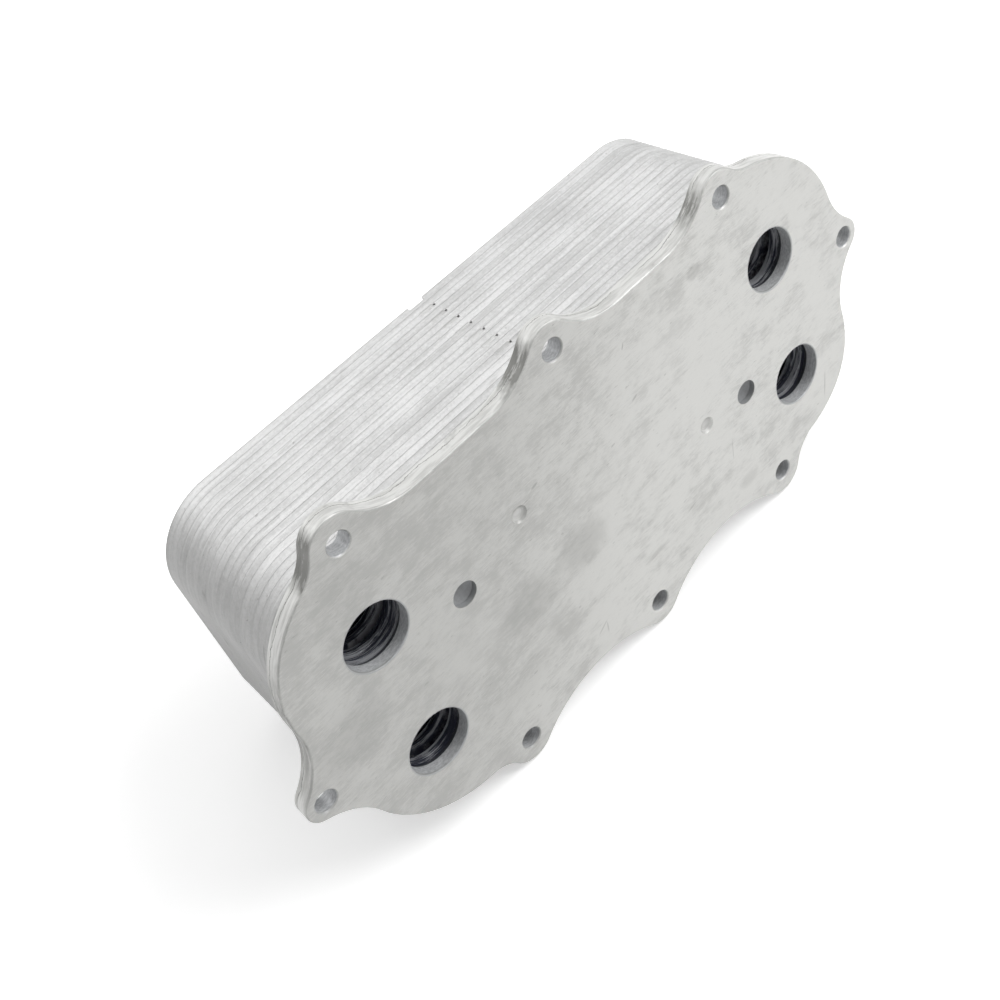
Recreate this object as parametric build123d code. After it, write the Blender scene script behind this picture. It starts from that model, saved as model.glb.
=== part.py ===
"""Brazed plate oil cooler: a scalloped mounting flange on a stack of nested dished plates.

Frame, in millimetres: X runs along the cooler's length, +Z is up, and Y runs through the stack.
The origin is the centre of the mounting face, which lies in Y = 0 and looks towards -Y.
Two flange layers, a base plate, nested core plates and a closed end plate follow towards +Y,
with a corrugated turbulator in each gap between two core plates.
"""
import os
from math import atan2, cos, degrees, hypot, pi, sin, sqrt

from build123d import *

# --- Flange -----------------------------------------------------------------------------------
front_layer_thickness = 4.8
rear_layer_thickness = 1.8
flange_edge_radius = 0.7          # rolled-over edge that the punch leaves on the mounting face

port_radius = 12.5
port_spacing_x = 200.0
port_spacing_z = 60.0
port_edge_radius = 0.4
rear_port_step = 1.0              # the rear layer's ports are this much wider in radius
core_port_step = 0.5              # and those of the base plate and the core

bolt_hole_radius = 4.2            # clearance for M8
bolt_hole_chamfer = 0.5
side_lobe_wall = 3.6              # metal left round a bolt hole in the two end lobes
row_lobe_wall = 6.4               # and in the six lobes of the upper and lower rows

upper_row_z = 71.0
lower_row_z = -68.0
upper_row_x = (84.0, -2.5, -95.5)
lower_row_x = (-70.0, 2.7, 80.2)
side_bolt_x = 141.2
side_bolt_z = 9.9                 # right end up, left end down by the same amount

upper_edge_z = 67.5               # straight edge between the lobes of the upper row
straight_edge_radius = 1500.0     # the straight edges are drawn as very slack arcs

locating_hole_radius = 5.0
locating_holes = ((-67.5, 15.1), (72.0, -15.1))
locating_hole_depth = 2.4         # straight part of a locating hole
locating_dish_depth = 1.5         # rounded bottom below it
dimple_radius = 3.5
dimple_depth = 1.8                # a ball-nosed dent, more than halfway through the front layer
dimples = ((-37.6, 24.8), (49.1, -12.4))

# Large arcs round the ports that make the four corners of the flange: centre x, centre z, radius.
corner_upper_right = (90.0, 26.0, 48.0)
corner_upper_left = (-92.0, 26.0, 44.8)
corner_lower_left = (-83.0, -19.0, 48.0)
corner_lower_right = (97.0, -27.0, 35.8)

# Radii of the hollow arcs that blend one rounded form of the outline into the next.
blend_row_to_edge = 30.0
blend_row_to_corner = 18.0
blend_side_to_corner = 30.0
blend_lower_left = 13.0
scallop_radius = 48.5

# --- Stack of dished plates -----------------------------------------------------------------------
base_plate_thickness = 3.4
core_plate_count = 19
plate_pitch = 3.6
sheet_thickness = 0.8
braze_gap = 0.02                  # film of filler between two brazed faces
rim_overlap = 1.5                 # how far a rim reaches past the next plate's web
end_plate_thickness = 1.2

stack_length = 262.0              # over the lips of the rims
stack_height = 113.0
stack_corner_radius = 28.0

collar_width = 3.2                # raised ring that seals a port from a channel
notch_width = 7.5                 # assembly notch in the upper lip of every second rim
notch_depth = 1.5
notch_x = -0.8

# --- Turbulators --------------------------------------------------------------------------------
fin_sheet_thickness = 0.25
oil_fin_pitch = 5.0
coolant_fin_pitch = 8.0
fin_to_rim_clearance = 1.0
fin_to_port_clearance = 2.0

match_tolerance = 1e-6            # two lengths this close count as equal

# --- Values that follow ---------------------------------------------------------------------------
flange_thickness = front_layer_thickness + rear_layer_thickness
stack_start = flange_thickness + base_plate_thickness + 2 * braze_gap
rim_slope = (sheet_thickness + braze_gap) / plate_pitch
rim_angle = degrees(atan2(rim_slope, 1.0))
rim_depth = plate_pitch + rim_overlap
rim_spread = rim_depth * rim_slope
channel_height = plate_pitch - sheet_thickness
rear_port_radius = port_radius + rear_port_step
core_port_radius = port_radius + core_port_step
row_lobe_radius = bolt_hole_radius + row_lobe_wall
side_lobe_radius = bolt_hole_radius + side_lobe_wall
ports = [
    (side * port_spacing_x / 2, level * port_spacing_z / 2)
    for side in (1, -1)
    for level in (1, -1)
]
side_bolts = [(side_bolt_x, side_bolt_z), (-side_bolt_x, -side_bolt_z)]
bolt_holes = (
    side_bolts
    + [(x, upper_row_z) for x in upper_row_x]
    + [(x, lower_row_z) for x in lower_row_x]
)


def slab(face, front_y, thickness, taper=0.0):
    """Solid of a face drawn in X and Z, from front_y towards +Y; a taper narrows its front."""
    back_plane = Plane.XZ.offset(-(front_y + thickness))
    return extrude(back_plane * face, amount=thickness, taper=taper)


def discs(centres, radius):
    """Circles of one radius about several centres, as one sketch."""
    return Sketch() + [Pos(x, z) * Circle(radius) for x, z in centres]


def circle_of(centre, radius):
    """A rounded form of the outline: centre x, centre z, radius."""
    return (centre[0], centre[1], radius)


def straight_edge(x, z):
    """A nearly straight upper edge whose highest point is at (x, z)."""
    return (x, z - straight_edge_radius, straight_edge_radius)


def blend_centre(first, second, radius):
    """Centre of the hollow arc that touches two round forms from outside, on their right."""
    reach_first = first[2] + radius
    reach_second = second[2] + radius
    dx, dz = second[0] - first[0], second[1] - first[1]
    distance = hypot(dx, dz)
    along = (distance ** 2 + reach_first ** 2 - reach_second ** 2) / (2 * distance)
    across = sqrt(reach_first ** 2 - along ** 2)
    ux, uz = dx / distance, dz / distance
    return (first[0] + along * ux + across * uz, first[1] + along * uz - across * ux)


def touch_point(form, centre):
    """Point of a round form that faces the centre of a blend."""
    dx, dz = centre[0] - form[0], centre[1] - form[1]
    distance = hypot(dx, dz)
    return (form[0] + dx * form[2] / distance, form[1] + dz * form[2] / distance)


def arc_between(start, end, centre, turn):
    """Arc about a centre from start to end; turn is 1 anticlockwise and -1 clockwise."""
    radius = hypot(start[0] - centre[0], start[1] - centre[1])
    first = atan2(start[1] - centre[1], start[0] - centre[0])
    last = atan2(end[1] - centre[1], end[0] - centre[0])
    sweep = (last - first) * turn % (2 * pi)
    middle = first + turn * sweep / 2
    through = (centre[0] + radius * cos(middle), centre[1] + radius * sin(middle))
    return ThreePointArc(start, through, end)


def flange_outline():
    """Face of the scalloped flange: round forms, anticlockwise, joined by hollow blends."""
    lobe_right, lobe_left = [circle_of(hole, side_lobe_radius) for hole in side_bolts]
    upper = [circle_of((x, upper_row_z), row_lobe_radius) for x in upper_row_x]
    lower = [circle_of((x, lower_row_z), row_lobe_radius) for x in lower_row_x]
    upper_edges = [
        straight_edge((first[0] + second[0]) / 2, upper_edge_z)
        for first, second in zip(upper, upper[1:])
    ]
    chain = [
        (lobe_right, blend_side_to_corner),
        (corner_upper_right, blend_row_to_corner),
        (upper[0], blend_row_to_edge),
        (upper_edges[0], blend_row_to_edge),
        (upper[1], blend_row_to_edge),
        (upper_edges[1], blend_row_to_edge),
        (upper[2], blend_row_to_corner),
        (corner_upper_left, blend_side_to_corner),
        (lobe_left, blend_side_to_corner),
        (corner_lower_left, blend_lower_left),
        (lower[0], scallop_radius),
        (lower[1], scallop_radius),
        (lower[2], blend_row_to_corner),
        (corner_lower_right, blend_side_to_corner),
    ]
    forms = [form for form, _ in chain]
    following = forms[1:] + forms[:1]
    blends = [
        blend_centre(form, after, radius)
        for (form, radius), after in zip(chain, following)
    ]
    edges = []
    for index, form in enumerate(forms):
        start = touch_point(form, blends[index - 1])
        end = touch_point(form, blends[index])
        next_start = touch_point(following[index], blends[index])
        edges.append(arc_between(start, end, form, 1))
        edges.append(arc_between(end, next_start, blends[index], -1))
    return make_face(Wire(edges))


def stack_outline(inset):
    """Rounded rectangle of the stack, inset from the lips of the rims."""
    return RectangleRounded(
        stack_length - 2 * inset,
        stack_height - 2 * inset,
        stack_corner_radius - inset,
    )


def front_edges(solid, radius):
    """Circular edges of one radius on the front face of a layer."""
    front_y = solid.bounding_box().min.Y
    return [
        edge
        for edge in solid.edges().filter_by(GeomType.CIRCLE)
        if abs(edge.radius - radius) < match_tolerance
        and abs(edge.center().Y - front_y) < match_tolerance
    ]


def dents(centres, radius, front_y, depth):
    """Caps of balls that hollow a face at front_y, as one cutter."""
    ball_radius = (radius ** 2 + depth ** 2) / (2 * depth)
    balls = Part() + [
        Pos(x, front_y + depth - ball_radius, z) * Sphere(ball_radius) for x, z in centres
    ]
    return balls & slab(discs(centres, radius), front_y, depth)


def front_layer():
    """Front layer of the flange: machined mounting face with every hole and both dimples."""
    plate = slab(flange_outline(), 0.0, front_layer_thickness)
    rolled = plate.faces().sort_by(Axis.Y)[0].outer_wire().edges()
    plate = fillet(rolled, flange_edge_radius)
    holes = discs(bolt_holes, bolt_hole_radius) + discs(ports, port_radius)
    plate -= slab(holes, 0.0, front_layer_thickness)
    plate -= slab(discs(locating_holes, locating_hole_radius), 0.0, locating_hole_depth)
    plate = fillet(front_edges(plate, port_radius), port_edge_radius)
    plate = chamfer(front_edges(plate, bolt_hole_radius), bolt_hole_chamfer)
    plate -= dents(dimples, dimple_radius, 0.0, dimple_depth)
    return plate - dents(
        locating_holes, locating_hole_radius, locating_hole_depth, locating_dish_depth
    )


def rear_layer():
    """Rear layer of the flange, with wider ports and the bolt holes."""
    holes = discs(bolt_holes, bolt_hole_radius) + discs(ports, rear_port_radius)
    return slab(flange_outline() - holes, front_layer_thickness, rear_layer_thickness)


def base_plate():
    """Flat plate that seats the stack on the flange."""
    face = stack_outline(rim_spread) - discs(ports, core_port_radius)
    return slab(face, flange_thickness + braze_gap, base_plate_thickness)


def plate_front(index):
    """Y of the front of a core plate's web, counted from the flange."""
    return stack_start + index * plate_pitch


def dish(front_y, web_thickness):
    """Dished plate: flat web at the front and a rim that flares towards the back."""
    shell = slab(stack_outline(0.0), front_y, rim_depth, rim_angle)
    inside_depth = rim_depth - web_thickness
    inside = slab(stack_outline(sheet_thickness), front_y + web_thickness, inside_depth, rim_angle)
    return shell - inside


def lip_notch(front_y):
    """Cutter for the assembly notch in the upper lip of a dished plate."""
    reach = rim_spread + sheet_thickness
    middle = Pos(notch_x, front_y + rim_depth - notch_depth / 2, stack_height / 2)
    return middle * Box(notch_width, notch_depth, 2 * reach)


def is_notched(index):
    """Whether a plate has the notch: every second one, the end plate among them."""
    return (core_plate_count - index) % 2 == 0


def sealed_ports(index):
    """Two diagonal ports that the channel behind a core plate is closed to."""
    return [ports[0], ports[3]] if index % 2 == 0 else [ports[1], ports[2]]


def core_plate(index):
    """Core plate with its four ports and a raised collar round the two it seals."""
    front_y = plate_front(index)
    plate = dish(front_y, sheet_thickness)
    sealed = sealed_ports(index)
    collar = discs(sealed, core_port_radius + collar_width)
    plate += slab(collar, front_y + sheet_thickness, channel_height - braze_gap)
    plate -= slab(discs(ports, core_port_radius), front_y, plate_pitch)
    return plate - lip_notch(front_y) if is_notched(index) else plate


def end_plate():
    """Closed dished plate that ends the stack."""
    front_y = plate_front(core_plate_count)
    return dish(front_y, end_plate_thickness) - lip_notch(front_y)


def fin_profile(length, height, pitch):
    """Cross-section of a square-wave fin sheet, as thick as its sheet everywhere."""
    waves = int(length // pitch)
    start = -waves * pitch / 2
    half = pitch / 2
    crest = Rectangle(half + fin_sheet_thickness, fin_sheet_thickness)
    wall = Rectangle(fin_sheet_thickness, height)
    level = (height - fin_sheet_thickness) / 2
    pieces = []
    for step in range(2 * waves):
        side = level if step % 2 == 0 else -level
        pieces.append(Pos(start + (step + 0.5) * half, side) * crest)
        pieces.append(Pos(start + (step + 1) * half, 0) * wall)
    return Sketch() + pieces


def turbulator(index, pitch):
    """Corrugated fin sheet in the channel behind a core plate, between the left and right ports."""
    height = channel_height - 2 * braze_gap
    clear = core_port_radius + collar_width + fin_to_port_clearance
    length = port_spacing_x - 2 * clear
    width = stack_height - 2 * (rim_spread + sheet_thickness + fin_to_rim_clearance)
    front_y = plate_front(index) + sheet_thickness + braze_gap
    profile = fin_profile(length, height, pitch)
    plane = Plane(origin=(0, front_y + height / 2, -width / 2), x_dir=(1, 0, 0), z_dir=(0, 0, 1))
    return extrude(plane * profile, amount=width)


def main():
    """Write every piece of the cooler as a STEP file of its own."""
    pieces = {
        "front_flange_layer": front_layer(),
        "rear_flange_layer": rear_layer(),
        "base_plate": base_plate(),
        "end_plate": end_plate(),
    }
    for index in range(core_plate_count):
        pieces[f"core_plate_{index + 1:02d}"] = core_plate(index)
        carries_oil = index % 2 == 0
        fluid = "oil" if carries_oil else "coolant"
        pitch = oil_fin_pitch if carries_oil else coolant_fin_pitch
        pieces[f"{fluid}_turbulator_{index + 1:02d}"] = turbulator(index, pitch)
    os.makedirs("parts", exist_ok=True)
    for name, piece in pieces.items():
        piece.label = name
        export_step(piece, f"parts/{name}.step")
        print(name, round(piece.volume, 1))


main()
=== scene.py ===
"""Looks of a brazed plate oil cooler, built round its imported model.

The flange layers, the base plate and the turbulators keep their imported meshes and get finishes.
The dished plates of the stack are modelled again as pressed sheet with rolled lips, and a fillet
of filler metal runs round every joint between two of them.
"""
import logging
import math
from dataclasses import dataclass, field
from enum import Enum
from typing import Any, Callable, Iterable, NamedTuple, Sequence

import bmesh
import bpy
from mathutils import Matrix, Vector


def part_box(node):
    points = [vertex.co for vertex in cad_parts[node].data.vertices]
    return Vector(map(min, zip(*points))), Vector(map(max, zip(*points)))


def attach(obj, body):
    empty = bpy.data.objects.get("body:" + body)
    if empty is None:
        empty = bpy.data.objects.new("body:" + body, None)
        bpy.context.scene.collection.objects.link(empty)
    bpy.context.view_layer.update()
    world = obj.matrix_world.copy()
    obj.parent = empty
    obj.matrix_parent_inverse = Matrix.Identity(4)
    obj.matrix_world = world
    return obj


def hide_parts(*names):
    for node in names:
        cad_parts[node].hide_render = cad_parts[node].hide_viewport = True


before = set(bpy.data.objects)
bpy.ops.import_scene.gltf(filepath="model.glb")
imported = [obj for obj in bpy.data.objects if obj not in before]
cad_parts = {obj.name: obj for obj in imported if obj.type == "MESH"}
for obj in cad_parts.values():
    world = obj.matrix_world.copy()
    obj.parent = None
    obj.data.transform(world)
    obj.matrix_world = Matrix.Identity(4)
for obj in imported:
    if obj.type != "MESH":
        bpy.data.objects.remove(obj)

log = logging.getLogger("cooler")

MM = 0.001
METRE_IN_MM = 1000.0
BODY = "root"
SMOOTH_ANGLE = math.radians(35)
NOISE_MIDDLE = 0.5
WHITE = (1.0, 1.0, 1.0, 1.0)

# Numbers of the Mix node's colour sockets, which share their names with others.
MIX_INPUTS = (6, 7)
MIX_RESULT = 2

# Centres of the holes in the mounting face, X and Z in millimetres.
PORTS = ((100.0, 30.0), (100.0, -30.0), (-100.0, 30.0), (-100.0, -30.0))
LOCATING_HOLES = ((-67.5, 15.1), (72.0, -15.1))
BOLT_HOLES = (
    (84.0, 71.0),
    (-2.5, 71.0),
    (-95.5, 71.0),
    (80.2, -68.0),
    (2.7, -68.0),
    (-70.0, -68.0),
    (141.2, 9.9),
    (-141.2, -9.9),
)

# How softly a mask round a hole ends, in millimetres.
HOLE_EDGE = 0.5

Colour = tuple[float, float, float]
Span = tuple[float, float]
Point = tuple[float, float]
SocketKey = str | int


class Fluid(Enum):
    """The two fluids, by the word that their turbulators' names start with."""

    OIL = "oil"
    COOLANT = "coolant"


# --- Shader arithmetic ----------------------------------------------------------------------------


class Signal:
    """A value on its way through a material, written as ordinary arithmetic."""

    def __init__(self, graph: "Graph", socket: bpy.types.NodeSocket) -> None:
        """Keep the graph and the output socket.

        Args:
            graph: The material graph that the socket belongs to.
            socket: The output socket that carries the value.
        """
        self.graph = graph
        self.socket = socket

    def __add__(self, other: "Value") -> "Signal":
        """Sum."""
        return self.graph.math("ADD", self, other)

    def __radd__(self, other: "Value") -> "Signal":
        """Sum with a number on the left."""
        return self.graph.math("ADD", other, self)

    def __sub__(self, other: "Value") -> "Signal":
        """Difference."""
        return self.graph.math("SUBTRACT", self, other)

    def __rsub__(self, other: "Value") -> "Signal":
        """Difference with a number on the left."""
        return self.graph.math("SUBTRACT", other, self)

    def __mul__(self, other: "Value") -> "Signal":
        """Product."""
        return self.graph.math("MULTIPLY", self, other)

    def __rmul__(self, other: "Value") -> "Signal":
        """Product with a number on the left."""
        return self.graph.math("MULTIPLY", other, self)

    def __abs__(self) -> "Signal":
        """Size without sign."""
        return self.graph.math("ABSOLUTE", self)

    def least(self, other: "Value") -> "Signal":
        """The smaller of two values."""
        return self.graph.math("MINIMUM", self, other)

    def most(self, other: "Value") -> "Signal":
        """The larger of two values."""
        return self.graph.math("MAXIMUM", self, other)


Value = Signal | float


class Spot(NamedTuple):
    """Place on the surface in millimetres, along, through and up the cooler."""

    x: Signal
    y: Signal
    z: Signal


@dataclass(frozen=True)
class Noise:
    """Noise pattern of a finish.

    The stretch scales the place in millimetres along each axis, the scale is in cells for each
    unit of that, and the finer octaves have the weight that rough gives.
    """

    stretch: tuple[float, float, float] = (1.0, 1.0, 1.0)
    scale: float = 1.0
    octaves: float = 4.0
    rough: float = 0.6


class Graph:
    """Node tree of a material or world, with the few calls that the finishes are written in."""

    def __init__(self, owner: bpy.types.Material | bpy.types.World) -> None:
        """Start with an empty tree.

        Args:
            owner: The new material or world.
        """
        self.owner = owner
        owner.use_nodes = True
        self.tree = owner.node_tree
        self.tree.nodes.clear()

    def node(
        self,
        kind: str,
        settings: dict[str, Any] | None = None,
        sockets: dict[SocketKey, Any] | None = None,
        output: SocketKey = 0,
    ) -> Signal:
        """Add one node.

        Args:
            kind: Node type, without the word that all shader nodes start with.
            settings: Properties of the node, set before its sockets.
            sockets: Values or signals for its inputs, by name or number.
            output: Name or number of the output to hand on.

        Returns:
            The chosen output as a signal.
        """
        made = self.tree.nodes.new("ShaderNode" + kind)
        for name, setting in (settings or {}).items():
            setattr(made, name, setting)
        for key, value in (sockets or {}).items():
            if isinstance(value, Signal):
                self.tree.links.new(value.socket, made.inputs[key])
            else:
                made.inputs[key].default_value = value
        return Signal(self, made.outputs[output])

    def math(self, operation: str, *values: Value) -> Signal:
        """Math node on one or two values."""
        return self.node("Math", {"operation": operation}, dict(enumerate(values)))

    def length(self, right: Signal, up: Signal) -> Signal:
        """Length of a step to the right and up."""
        return self.math("SQRT", right * right + up * up)

    def ramp(self, value: Signal, low: float, high: float) -> Signal:
        """Smooth step of a value.

        Args:
            value: The value to map.
            low: Where the result is 0.
            high: Where the result is 1, below low for a falling step.

        Returns:
            A signal from 0 to 1.
        """
        rising = high > low
        ends = (low, high, 0.0, 1.0) if rising else (high, low, 1.0, 0.0)
        names = ("From Min", "From Max", "To Min", "To Max")
        sockets: dict[SocketKey, Any] = dict(zip(names, ends))
        sockets["Value"] = value
        return self.node("MapRange", {"interpolation_type": "SMOOTHSTEP"}, sockets)

    def place(self, stretch: Sequence[float] = (1.0, 1.0, 1.0)) -> Signal:
        """Object coordinates in millimetres.

        Args:
            stretch: Further scale along each axis.

        Returns:
            The coordinates as a vector signal.
        """
        where = self.node("TexCoord", output="Object")
        factors = [METRE_IN_MM * part for part in stretch]
        return self.node("Mapping", None, {"Vector": where, "Scale": factors})

    def spot(self) -> Spot:
        """Read the place on the surface.

        Returns:
            Its three parts in millimetres.
        """
        first = self.node("SeparateXYZ", None, {0: self.place()})
        _, *others = first.socket.node.outputs
        return Spot(first, *(Signal(self, output) for output in others))

    def noise(self, pattern: Noise) -> Signal:
        """Noise over the surface.

        Args:
            pattern: Its stretch, scale and octaves.

        Returns:
            A signal from 0 to 1.
        """
        sockets: dict[SocketKey, Any] = {
            "Vector": self.place(pattern.stretch),
            "Scale": pattern.scale,
            "Detail": pattern.octaves,
            "Roughness": pattern.rough,
        }
        return self.node("TexNoise", None, sockets)

    def blend(self, factor: Value, first: Colour | Signal, second: Colour | Signal) -> Signal:
        """Colour between two colours.

        Args:
            factor: 0 for the first colour, 1 for the second.
            first: A colour or a colour signal.
            second: A colour or a colour signal.

        Returns:
            The mixed colour.
        """
        sockets: dict[SocketKey, Any] = {"Factor": factor}
        for number, colour in zip(MIX_INPUTS, (first, second)):
            sockets[number] = colour if isinstance(colour, Signal) else (*colour, 1.0)
        return self.node("Mix", {"data_type": "RGBA"}, sockets, MIX_RESULT)

    def near(self, spot: Spot, holes: Sequence[Point], reach: float) -> Signal:
        """Mask of the walls of some holes.

        Args:
            spot: Place in millimetres.
            holes: X and Z of the holes' centres.
            reach: Distance from a centre at which the mask ends.

        Returns:
            1 inside the reach of any hole, 0 outside.
        """
        first, *rest = (self.length(spot.x - x, spot.z - z) for x, z in holes)
        for distance in rest:
            first = first.least(distance)
        return self.ramp(first, reach + HOLE_EDGE, reach)

    def bump(self, height: Signal, strength: float, depth: float) -> Signal:
        """Normal disturbed by a height.

        Args:
            height: Height from 0 to 1.
            strength: How much of it shows.
            depth: Depth of the relief in metres.

        Returns:
            The new normal.
        """
        sockets: dict[SocketKey, Any] = {"Height": height, "Strength": strength, "Distance": depth}
        return self.node("Bump", None, sockets)

    def metal(self, colour: Signal, roughness: Signal, metallic: Value, normal: Signal) -> None:
        """Close the graph with a metal surface.

        Args:
            colour: Base colour.
            roughness: Roughness over the surface.
            metallic: How metallic it is.
            normal: Normal with its relief.
        """
        sockets: dict[SocketKey, Any] = {
            "Base Color": colour,
            "Roughness": roughness,
            "Metallic": metallic,
            "Normal": normal,
        }
        self.close(self.node("BsdfPrincipled", None, sockets))

    def rays(self, *kinds: str) -> Signal:
        """Mask of some kinds of light path.

        Args:
            kinds: Names of the Light Path node's outputs.

        Returns:
            1 for a ray of any of these kinds, 0 for others.
        """
        first, *rest = (self.node("LightPath", output=kind) for kind in kinds)
        for other in rest:
            first = first.most(other)
        return first

    def close(self, shader: Signal, kind: str = "OutputMaterial") -> None:
        """Send a shader to the tree's output.

        Args:
            shader: The shader.
            kind: Type of the output node.
        """
        output = self.tree.nodes.new("ShaderNode" + kind)
        self.tree.links.new(shader.socket, output.inputs["Surface"])


def weigh(signals: Sequence[Signal], weights: Sequence[float]) -> Signal:
    """Weighted sum of signals.

    Args:
        signals: The signals.
        weights: A weight for each.

    Returns:
        The sum.
    """
    first, *rest = (signal * weight for signal, weight in zip(signals, weights))
    for part in rest:
        first = first + part
    return first


def vary(base: float, noises: Sequence[Signal], weights: Sequence[float]) -> Signal:
    """Value that noises push up and down.

    Args:
        base: Its mean.
        noises: The noises, from 0 to 1.
        weights: How far each one pushes it.

    Returns:
        The value.
    """
    return weigh(noises, weights) + (base - NOISE_MIDDLE * sum(weights))


# --- Finishes -------------------------------------------------------------------------------------


@dataclass(frozen=True)
class Patches:
    """Patches where a noise rises from the low to the high end of its span."""

    noise: Noise
    span: Span
    strength: float = 1.0

    def mask(self, graph: Graph) -> Signal:
        """Mask of the patches, times their strength."""
        return graph.ramp(graph.noise(self.noise), *self.span) * self.strength


@dataclass(frozen=True)
class Mark:
    """A stain, fleck or scratch on the mounting face, or a patch of painted shade on the rim, as a
    soft oval.

    Sizes are in millimetres on the face and the tilt is in degrees from its length.
    """

    x: float
    z: float
    length: float
    width: float
    tilt: float
    depth: float
    softness: float

    def mask(self, graph: Graph, spot: Spot, wander: Signal) -> Signal:
        """Oval mask with a wandering edge.

        Args:
            graph: Graph to build in.
            spot: Place in millimetres.
            wander: Noise round 0 that roughens the edge.

        Returns:
            The mask, times the mark's depth.
        """
        turn = math.radians(self.tilt)
        right, up = spot.x - self.x, spot.z - self.z
        along = (right * math.cos(turn) + up * math.sin(turn)) * (2.0 / self.length)
        across = (up * math.cos(turn) - right * math.sin(turn)) * (2.0 / self.width)
        reach = graph.length(along, across) + wander
        return graph.ramp(reach, 1.0 + self.softness, 1.0 - self.softness) * self.depth


def mask_marks(graph: Graph, marks: Sequence[Mark], spot: Spot, wander: Signal) -> Signal:
    """Sum of the masks of some marks.

    Args:
        graph: Graph to build in.
        marks: The marks.
        spot: Place in millimetres.
        wander: Noise that roughens their edges.

    Returns:
        The sum.
    """
    first, *rest = (mark.mask(graph, spot, wander) for mark in marks)
    for mask in rest:
        first = first + mask
    return first


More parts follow.
